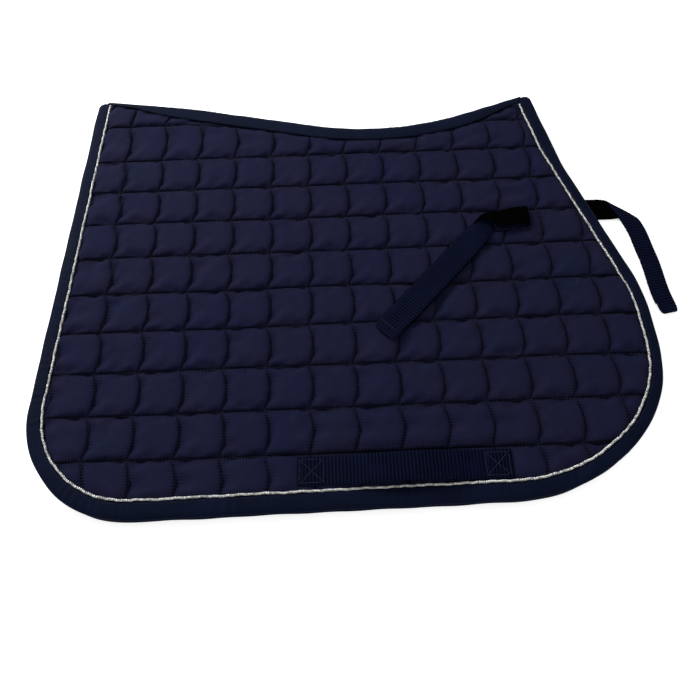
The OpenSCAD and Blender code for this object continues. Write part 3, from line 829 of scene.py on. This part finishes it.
def build_binding(side):
    name = NAMES[side]
    outer, inner = binding_profile()
    rows = ring_rows(outer + inner, BINDING_FROM, BINDING_TO)
    s = along(rows[:, 10, :2])
    seed = 7 if side > 0 else 17
    count = len(outer)
    f = np.linspace(0, 1, count)
    wide = np.sin(TAU * s / 9.1 + 2.2 * wave(s, 60, seed))
    narrow = np.sin(TAU * s / 6.3 + 2 * wave(s, 50, seed + 4))
    crease = wide * smooth(wave(s, 45, seed + 1) + 0.3) + 0.7 * narrow * smooth(wave(s, 70, seed + 2))
    sag = 0.35 * wave(s, 38, seed + 3)
    weight = np.sin(math.pi * np.clip(f * 1.9, 0, 1)) ** 0.7
    for k in range(count):
        rows[:, k, 2] += weight[k] * (0.46 * crease + sag * 0.6) * (1 if side > 0 else 0.5)
    # The outer edge isn't perfectly true.
    centre = rows[:, :, :2].mean(1)
    edge_dir = rows[:, 10, :2] - centre
    edge_dir /= np.linalg.norm(edge_dir, axis=1)[:, None]
    push = (0.45 * wave(s, 55, seed + 6))[:, None] * edge_dir
    for k in range(5, 14):
        rows[:, k, :2] += push * math.sin(math.pi * (k - 4) / 10)
    if side < 0:
        rows[..., 2] = np.clip(rows[..., 2], None, 7.5)
    # The sewn webbing of the left strap passes over the binding, so it is pressed down there.
    pressed = pocket_limit(rows[..., :2], RECTS[side], POCKET_W - 0.5)
    rows[..., 2] = np.where(rows[..., 2] > 3, np.minimum(rows[..., 2], pressed), rows[..., 2])
    placed = place(rows, side)
    if side < 0:
        placed = placed[:, ::-1]
    binding = add_tube(name + "_edge_binding", placed, BINDING)
    to_flap(binding, side, "binding", "binding")

    # Stitch line just outside the piping, and the same line on the lining side.
    stitches = Stitches()
    pick = stations(BINDING_FROM + 2, BINDING_TO - 2)
    line = at_height(loop(visible(-2.2, -2.2))[pick], 6.42)
    keep = pocket_limit(line[:, :2], RECTS[side], 0) > 3.6
    for run in runs_where(keep):
        stitches.line(place(line[run], side), 3.4, 0.72, 0.55, (0, 0, side), 0.12)
    line = at_height(loop(INNER_TAPE_W - 2.0)[pick], 0.1)
    stitches.line(place(line, side), 3.4, 0.72, 0.5, (0, 0, -side), 0.05)
    thread = stitches.add(name + "_binding_stitches", DARK_THREAD)
    to_flap(thread, side, "binding_stitching", "thread")


def build_piping(side):
    name = NAMES[side]
    first, last = int(ARC_AT[1]) - EDGE_N[0] - 1, int(ARC_AT[6])
    pick = stations(first, last)
    base = loop(visible(1.65, 1.65))[pick]
    reach = 13.0
    base = np.concatenate([[base[0] - EDGES[0] * reach], base, [base[-1] + EDGES[5] * (reach - 2)]])
    s = along(base)
    seed = 23 if side > 0 else 29
    at = np.arange(0, s[-1], 0.62)
    x, y = np.interp(at, s, base[:, 0]), np.interp(at, s, base[:, 1])
    tangent = np.gradient(np.stack([x, y], 1), axis=0)
    tangent /= np.linalg.norm(tangent, axis=1)[:, None]
    normal = np.stack([-tangent[:, 1], tangent[:, 0]], 1)
    wander = 0.35 * wave(at, 34, seed) + 0.22 * np.sin(TAU * at / 12.5 + wave(at, 80, seed + 1))
    w = GROOVE_W + 1.15 + 0.3 * wave(at, 42, seed + 2)
    if side < 0:
        w = np.minimum(w, 6.7)
        hidden = pocket_limit(np.stack([x, y], 1), RECTS[side], 0) < 3.5
        w = np.where(hidden, 5.2, w)
    points, faces, uvs, count = [], [], [], 0
    sides = 6
    for strand in (0, 1):
        phase = TAU * at / 4.6 + strand * math.pi + 0.5 * wave(at, 30, seed + 5)
        off, lift = 0.62 * np.cos(phase) + wander, 0.62 * np.sin(phase)
        cx, cy = x + normal[:, 0] * off, y + normal[:, 1] * off
        cw = w + lift
        ring = np.arange(sides) / sides * TAU
        r = 0.82 * (1 + 0.06 * np.sin(at * 9.0))
        rows = np.stack([cx[:, None] + normal[:, :1] * np.cos(ring) * r[:, None],
                         cy[:, None] + normal[:, 1:] * np.cos(ring) * r[:, None],
                         cw[:, None] + np.sin(ring) * r[:, None]], -1)
        if side > 0:
            rows = rows[:, ::-1]
        uv = np.stack(np.meshgrid(at, ring, indexing="ij"), -1)
        p, f, u = tube_mesh(rows, uv, count)
        points.append(p), uvs.append(u)
        faces += f
        count += len(p)
    piping = add_mesh(name + "_silver_piping", place(np.concatenate(points), side), faces, SILVER,
                      np.concatenate(uvs))
    to_flap(piping, side, "piping", "piping")


for side in (1, -1):
    build_binding(side)
    build_piping(side)

# ---------- spine ----------


def both_sides(half, sign):
    """A section above and below the plane between the flaps, from its upper half."""
    return [(i, MID_Z + sign * q) for i, q in half] + [(i, MID_Z - sign * q) for i, q in half[::-1]]


def build_spine():
    first, last = int(ARC_AT[6]) + ARC_N[6] + 2, LOOP_N - 2
    upper = [(1.0, 5.7), (0.98, 6.5), (0.9, 7.0), (0.7, 7.25), (0.5, 7.3), (0.3, 7.1), (0.14, 6.3),
             (0.04, 4.6), (0.0, 2.2)]
    section = [(VISIBLE * f, w + 0.2) for f, w in upper]
    outer = both_sides(section, 1)
    lower = [(0.97, 5.65), (0.6, 6.35), (0.25, 6.1), (0.10, 4.6), (0.07, 1.2)]
    back = [(VISIBLE * f, w) for f, w in lower]
    inner = both_sides(back, -1)
    rows = ring_rows(outer + inner, first, last)
    pick = stations(first, last)
    rim = loop(0)[pick][:, None]
    rows[..., :2] = rim + (rows[..., :2] - rim) * TAPE_SHARE[pick][:, None, None]
    s = along(rows[:, 4, :2])
    n = len(outer)
    rows[:, 3:n - 3, 1] += 1.6 * np.sin(math.pi * np.arange(n - 6) / (n - 7))[None, :]
    crease = np.sin(TAU * s / 8.7 + 2 * wave(s, 60, 61)) * smooth(wave(s, 50, 62) + 0.2)
    for k in range(1, n - 1):
        weight = math.sin(math.pi * k / (n - 1))
        z = rows[:, k, 2] - MID_Z
        rows[:, k, 2] += np.sign(z) * weight * (0.28 * crease + 0.25 * wave(s, 36, 63))
        rows[:, k, 1] += 0.35 * weight * wave(s, 45, 64)
    rows[..., 2] = np.maximum(rows[..., 2], 0.25)
    tape_obj = add_tube("spine_seam_tape", rows, SPINE)
    attach(tape_obj, "left_flap", "binding", "spine_tape")

    leaf = [(INNER_TAPE_W * f, q) for f, q in
            ((1.0, 0.55), (0.9, 1.05), (0.5, 1.15), (0.2, 1.15), (0.1, 0.6))]
    outer = both_sides(leaf, 1)
    leaf = [(INNER_TAPE_W * f, q) for f, q in ((0.98, 0.30), (0.5, 0.35), (0.2, 0.15))]
    inner = both_sides(leaf, -1)
    rows = ring_rows(outer + inner, first, last)
    inner_tape = add_tube("spine_lining_tape", rows, BINDING)
    attach(inner_tape, "left_flap", "binding", "spine_inner_tape")

    stitches = Stitches()
    pick = stations(first + 1, last - 1)
    path = (loop(0) + (TAPE_EDGE - loop(0)) * 0.9)[pick]
    for sign in (1, -1):
        line = at_height(path, MID_Z + sign * 7.2)
        stitches.line(line, 3.4, 0.72, 0.55, (0, 0, sign), 0.05)
    thread = stitches.add("spine_tape_stitches", DARK_THREAD)
    attach(thread, "left_flap", "thread", "spine_stitching")


build_spine()

# ---------- webbing: loops and straps ----------


def heading(deg):
    return np.array([math.cos(math.radians(deg)), math.sin(math.radians(deg))])


def band(s, v, start, direction, z, fold, flipped=False):
    """A flat strip laid along a heading and turned over at one fold: (point, fold heading, radius)."""
    e = heading(direction)
    n = -left_of(e) if flipped else left_of(e)
    pos = np.asarray(start, float) + s[:, None, None] * e + v[None, :, None] * n
    point, angle, r = fold
    t_dir = heading(angle)
    out = left_of(t_dir)
    out = out * np.sign(e @ out)
    q = pos - point
    t, d = q @ t_dir, q @ out
    arc = (d > 0) & (d < math.pi * r)
    flat = (d > 0) & ~arc
    reach = np.where(arc, r * np.sin(d / r), np.where(flat, -(d - math.pi * r), d))
    pos = np.where((d > 0)[..., None], point + t[..., None] * t_dir + reach[..., None] * out, pos)
    height = z + np.where(arc, r * (1 - np.cos(d / r)), np.where(flat, 2 * r, 0))
    return np.concatenate([pos, height[..., None]], -1)


def normals(grid):
    n = np.cross(np.gradient(grid, axis=0), np.gradient(grid, axis=1))
    return n / np.maximum(np.linalg.norm(n, axis=-1, keepdims=True), 1e-9)


def strip_rows(grid, low, high, taper=0):
    """Closed sections of a strip between two offsets from its surface, with rounded selvedges."""
    n = normals(grid)
    m = grid.shape[1]
    across = np.linspace(-1, 1, m)
    round_off = np.sqrt(np.clip(1 - np.abs(across) ** 14, 0, 1))[None, :, None]
    if taper:
        k = np.clip(np.arange(len(grid))[::-1] / taper, 0.02, 1)[:, None, None]
        round_off = round_off * np.sqrt(1 - (1 - k) ** 2)
    mid, half = (low + high) / 2, (high - low) / 2
    upper = grid + n * (mid + half * round_off)
    lower = grid + n * (mid - half * round_off)
    return np.concatenate([upper, lower[:, ::-1]], 1)


def strip_uv(s, v):
    uv = np.stack(np.meshgrid(s, v, indexing="ij"), -1)
    return np.concatenate([uv, uv[:, ::-1]], 1)


def add_strip(name, grid, s, v, low, high, material, taper=0):
    rows = strip_rows(grid, low, high, taper)
    # Faces go the other way round from a tube's, so that they face outwards.
    return add_tube(name, rows[:, ::-1], material, strip_uv(s, v)[:, ::-1])


def ribbed(grid, s, depth=0.14, pitch=3.6):
    return grid + normals(grid) * (depth * np.cos(TAU * s / pitch))[:, None, None]


def box_stitches(stitches, x, y, z, up, length=PATCH_L):
    """A square of stitches with a cross in it, on the sewn end of a webbing."""
    m = 3.2
    x0, x1, y0, y1 = x + m, x + length - m, y - WEB_W / 2 + m, y + WEB_W / 2 - m
    for p, q in (((x0, y0), (x1, y0)), ((x1, y0), (x1, y1)), ((x1, y1), (x0, y1)), ((x0, y1), (x0, y0)),
                 ((x0, y0), (x1, y1)), ((x0, y1), (x1, y0))):
        line = np.array([(*p, z), (*q, z)], float)
        stitches.line(line, 2.7, 0.72, 0.6, up, 0.1)


def sew_boxes(name, places, z, side, body, node):
    """One piece of thread: a stitched box with its corner at each of places, facing up (1) or down (-1)."""
    stitches = Stitches()
    for x, y in places:
        box_stitches(stitches, x, y, z, (0, 0, side))
    attach(stitches.add(name, THREAD), body, "thread", node)


ACROSS = np.linspace(-WEB_W / 2, WEB_W / 2, 21)


def build_loop(side):
    name = NAMES[side]
    s = np.arange(0, LOOP_L + 0.01, 0.6)
    if side > 0:
        free = np.clip((s - PATCH_L) / (LOOP_L - 2 * PATCH_L), 0, 1)
        w = POCKET_W + LOOP_BOW * np.sin(math.pi * free) * 0.92
        w = np.convolve(np.pad(w, 8, mode="edge"), np.ones(17) / 17, "valid")
    else:
        w = np.full(len(s), POCKET_W)
    grid = np.zeros((len(s), len(ACROSS), 3))
    grid[..., 0] = LOOP_X + s[:, None]
    grid[..., 1] = LOOP_Y + ACROSS[None, :]
    free = smooth((s - PATCH_L) / 30) * smooth((LOOP_L - PATCH_L - s) / 30)
    grid[..., 1] += (0.9 * wave(s, 120, 71))[:, None] * free[:, None]
    tilt = 0.5 * np.sin(math.pi * ACROSS / WEB_W) * wave(s, 90, 72)[:, None] if side > 0 else 0
    grid[..., 2] = w[:, None] + free[:, None] * tilt
    grid[..., 2] = RIGHT_Z + grid[..., 2] if side > 0 else LEFT_Z - grid[..., 2]
    if side > 0:
        grid = ribbed(grid, s, 0.16)
    low, high = (0, WEB_T) if side > 0 else (-WEB_T, 0)
    obj = add_strip(name + "_girth_loop_webbing", grid, s, ACROSS, low, high, WEBBING)
    attach(obj, FLAP_BODY[side], "webbing", name + "_girth_loop")
    z = RIGHT_Z + POCKET_W + WEB_T + 0.1 if side > 0 else LEFT_Z - POCKET_W - WEB_T + 0.12
    ends = [(LOOP_X, LOOP_Y), (LOOP_X + LOOP_L - PATCH_L, LOOP_Y)]
    sew_boxes(name + "_girth_loop_stitches", ends, z, side, FLAP_BODY[side], name + "_girth_loop_stitching")


for side in (1, -1):
    build_loop(side)


def round_end(grid, s, radius=9.0):
    """Rounds the two corners at the free end of a strap, and thins them in to the middle."""
    back = s[-1] - s
    near = np.clip(1 - back / radius, 0, 0.999)
    k = 1 - 0.32 * (1 - np.sqrt(1 - near ** 2))
    middle = grid[:, grid.shape[1] // 2][:, None, :]
    return middle + (grid - middle) * k[:, None, None]


def hem_stitches(stitches, start, direction, z, back=12.0):
    e, n = heading(direction), left_of(heading(direction))
    p = start - e * back
    line = np.array([(*(p - n * 13), z), (*(p + n * 13), z)])
    stitches.line(line, 2.6, 0.7, 0.6, (0, 0, 1), 0.1)


def hook_side(name, grid, s, by, seed):
    """The fuzzy hook-and-loop face of a strap, made wider than its webbing so that its black edge stands in
    for the shade along the strap's sides.
    """
    rough = widened(grid + 0.12 * fuzz(grid, seed), by)
    return add_strip(name, rough, s, ACROSS, -HOOK_T, -0.03, HOOK, taper=2)


def build_right_strap():
    run0 = RIGHT_TURN_X - STRAP_X
    s = np.arange(0, run0 + math.pi * U_TURN_R + 2.5, 0.6)
    z0 = RIGHT_Z + POCKET_W
    u_turn = (np.array([RIGHT_TURN_X, RIGHT_STRAP_Y]), 90, U_TURN_R)
    grid = band(s, ACROSS, (STRAP_X, RIGHT_STRAP_Y), 0, z0, u_turn)
    middle_y = grid[:, 10:11, 1]
    drawn_in = 0.22 * smooth((s - run0 + 45) / 45)[:, None]
    grid[..., 1] += (middle_y - grid[..., 1]) * drawn_in + 4.0 * smooth((s - run0 + 25) / 25)[:, None]
    base = add_strip("right_strap_sewn_end", ribbed(grid, s, 0.12), s, ACROSS, 0, WEB_T, WEBBING)
    on_turn = s > run0 - 12
    # The hook face is widened past the webbing: its black edge is painted shade along the strap's sides.
    turned = add_strip("right_strap_hook_turn", widened(grid[on_turn] + 0.08 * fuzz(grid[on_turn], 8), 0.6),
                       s[on_turn], ACROSS, -HOOK_T, -0.03, HOOK)
    turn_x, turn_y = RIGHT_TURN_X * MM, RIGHT_STRAP_Y * MM
    ends = dict(start=(turn_x, turn_y, 0.0172), end=(turn_x, turn_y, 0.0212))
    attach(turned, ("right_flap", "right_strap"), "hook_tape", **ends)
    attach(base, ("right_flap", "right_strap"), "webbing", "right_strap_base", **ends)

    sew_boxes("right_strap_box_stitches", [(STRAP_X, RIGHT_STRAP_Y)], z0 + WEB_T + 0.1, 1,
              "right_flap", "right_strap_stitching")

    # Free part: the black side up at first, then folded over lengthwise, then the navy side up.
    route = np.array([(RIGHT_TURN_X, 68), (238, 66), (225, 63), (207, 57), (193, 46), (182, 34), (171, 22.5),
                      (146, -5), (108, -45), (70.5, -84)], float)
    knots = along(route)
    s = np.arange(0, knots[-1], 0.75)
    middle = np.stack([np.interp(s, knots, route[:, k]) for k in (0, 1)], 1)
    for _ in range(60):
        middle[1:-1] = (middle[:-2] + middle[2:]) / 4 + middle[1:-1] / 2
    ahead = np.gradient(middle, axis=0)
    ahead /= np.linalg.norm(ahead, axis=1)[:, None]
    side = np.stack([-ahead[:, 1], ahead[:, 0]], 1)
    turn = math.pi * (1 + smooth((s - 14) / 58))
    half = 1 - 0.24 * (1 - smooth((s - 40) / 45)) - 0.04 * smooth((s - 200) / 30)
    v = ACROSS[None, :] * half[:, None]
    bulge = 14.5 * np.abs(np.sin(turn))[:, None] * (1 - (ACROSS / 15) ** 2)[None, :]
    off = np.cos(turn)[:, None] * v - bulge
    height = z0 + 2 * U_TURN_R - 3.0 * smooth((s - 20) / 80)
    grid = np.concatenate([middle[:, None] + side[:, None] * off[..., None],
                           (height[:, None] + 0.24 * np.sin(turn)[:, None] * v)[..., None]], -1)
    grid = shape_tail(grid, s, RIGHT_RUN, 91, 0.6, 0.0)
    # The lower edge of the tail stays a little lifted and shows its black side.
    grid[..., 2] += 0.9 * smooth((s - 70) / 30)[:, None] * smooth(ACROSS / 15)[None, :] ** 2
    grid = round_end(grid, s)
    web = add_strip("right_strap_webbing", ribbed(grid, s, 0.12), s, ACROSS, 0.03, WEB_T, WEBBING, taper=3)
    attach(web, "right_strap", "webbing", "right_strap_tail")
    stitches = Stitches()
    hem_stitches(stitches, route[-1], RIGHT_TAIL_DIR - 1.6, grid[-16, 10, 2] + WEB_T + 0.1)
    hook = hook_side("right_strap_hook_side", grid[3:-20], s[3:-20], 0.9, 5)
    attach(hook, "right_strap", "hook_tape", "right_strap_hook_tape")
    thread = stitches.add("right_strap_hem_stitches", THREAD)
    attach(thread, "right_strap", "thread")


def shape_tail(grid, s, run, seed, lift, drop):
    """Lets the free tail beyond its fold wave a little and sink by drop."""
    beyond = smooth((s - run - 35) / 60)[:, None]
    out = grid.copy()
    out[..., 2] += beyond * lift * (0.5 + 0.5 * wave(s, 110, seed))[:, None]
    out[..., 2] -= smooth((s - run - 28) / 55)[:, None] * drop
    return out


def soften(grid, s, at, reach, times):
    """Rounds off a strap's outline near its fold at s = at, as soft webbing does."""
    weight = np.exp(-((s - at) / reach) ** 2)[1:-1, None, None]
    out = grid.copy()
    for _ in range(times):
        mean = (out[:-2] + out[2:]) / 2
        out[1:-1, :, :] += weight * (mean - out[1:-1])
    return out


def fuzz(grid, seed):
    rng = np.random.default_rng(seed)
    return rng.normal(0, 1, grid.shape)


def widened(grid, by):
    across = grid[:, -1:] - grid[:, :1]
    across = across / np.linalg.norm(across, axis=-1, keepdims=True)
    t = np.linspace(-1, 1, grid.shape[1])[None, :, None]
    return grid + across * t * by


def build_left_strap():
    fold = np.array([LEFT_FOLD_X, LEFT_STRAP_Y])
    fold_dir = LEFT_TAIL_DIR / 2
    run0 = LEFT_FOLD_X - STRAP_X
    s = np.arange(0, run0 + LEFT_TAIL + 3, 0.75)
    grid = band(s, ACROSS, (STRAP_X, LEFT_STRAP_Y), 0, 0.2 + WEB_T, (fold, fold_dir, 1.85), flipped=True)
    grid = soften(grid, s, run0 + 2, 24, 60)
    grid = shape_tail(grid, s, run0, 93, 0.5, 3.4)
    # The tail is rolled in a little, and bends forward and back again on its way down.
    beyond = s - run0
    narrow = 1 - 0.28 * smooth((beyond + 12) / 34)
    middle = grid[:, len(ACROSS) // 2][:, None, :]
    grid[..., :2] = middle[..., :2] + (grid[..., :2] - middle[..., :2]) * narrow[:, None, None]
    grid[..., 0] += (5.5 * smooth((beyond + 5) / 55) - 5.5 * smooth((beyond - 75) / 60))[:, None]
    grid = round_end(grid, s)
    web = add_strip("left_strap_webbing", ribbed(grid, s, 0.12), s, ACROSS, 0.03, WEB_T, WEBBING, taper=3)
    ends = dict(start=(0.341, LEFT_STRAP_Y * MM, 0.002), end=(0.357, LEFT_STRAP_Y * MM, 0.002))
    attach(web, ("left_flap", "left_strap"), "webbing", "left_strap_base", "left_strap_tail", **ends)
    first = int((332 - STRAP_X) / 0.75)
    hook = hook_side("left_strap_hook_side", grid[first:-20], s[first:-20], 0.3, 6)
    attach(hook, ("left_flap", "left_strap"), "hook_tape", "left_strap_hook_tape", **ends)
    sew_boxes("left_strap_box_stitches", [(STRAP_X, LEFT_STRAP_Y)], 0.22, -1,
              "left_flap", "left_strap_stitching")


build_right_strap()
build_left_strap()

# ---------- floor, light and camera ----------

floor = bpy.data.objects.new("floor", bpy.data.meshes.new("floor"))
floor.data.from_pydata([(-6, -6, 0), (6, -6, 0), (6, 6, 0), (-6, 6, 0)], [], [(0, 1, 2, 3)])
floor.data.materials.append(floor_paint("pale_floor"))
floor.location.z = -0.0002
bpy.context.scene.collection.objects.link(floor)


def area_light(name, at, target, size, power):
    data = bpy.data.lights.new(name, "AREA")
    data.size, data.energy = size, power
    obj = bpy.data.objects.new(name, data)
    bpy.context.scene.collection.objects.link(obj)
    away = Matrix.Translation(at).to_translation() - Matrix.Translation(target).to_translation()
    obj.location = at
    obj.rotation_euler = away.to_track_quat("Z", "Y").to_euler()
    return obj


area_light("key_light", (-1.15, 1.1, 0.95), (-0.1, 0, 0), 0.8, 40)
area_light("fill_light", (1.2, -1.6, 2.2), (0, 0, 0), 2.2, 9)

world = bpy.data.worlds.new("studio")
world.use_nodes = True
world.node_tree.nodes["Background"].inputs["Color"].default_value = (1, 1, 1, 1)
world.node_tree.nodes["Background"].inputs["Strength"].default_value = 0.50
bpy.context.scene.world = world
bpy.context.scene.view_settings.view_transform = "Standard"

camera = bpy.data.objects.new("camera", bpy.data.cameras.new("camera"))
camera.data.sensor_width = 36
camera.data.lens = 640 / 700 * 36
camera.data.clip_start = 0.01
right = (0.99917, -0.03981, -0.00884)
down = (-0.03967, -0.89856, -0.43705)
forward = (0.00946, 0.43704, -0.89939)
camera.matrix_world = Matrix([(right[k], -down[k], -forward[k], at) for k, at in
                              enumerate((0.027, -0.406, 0.645))] + [(0, 0, 0, 1)])
bpy.context.scene.collection.objects.link(camera)
bpy.context.scene.camera = camera
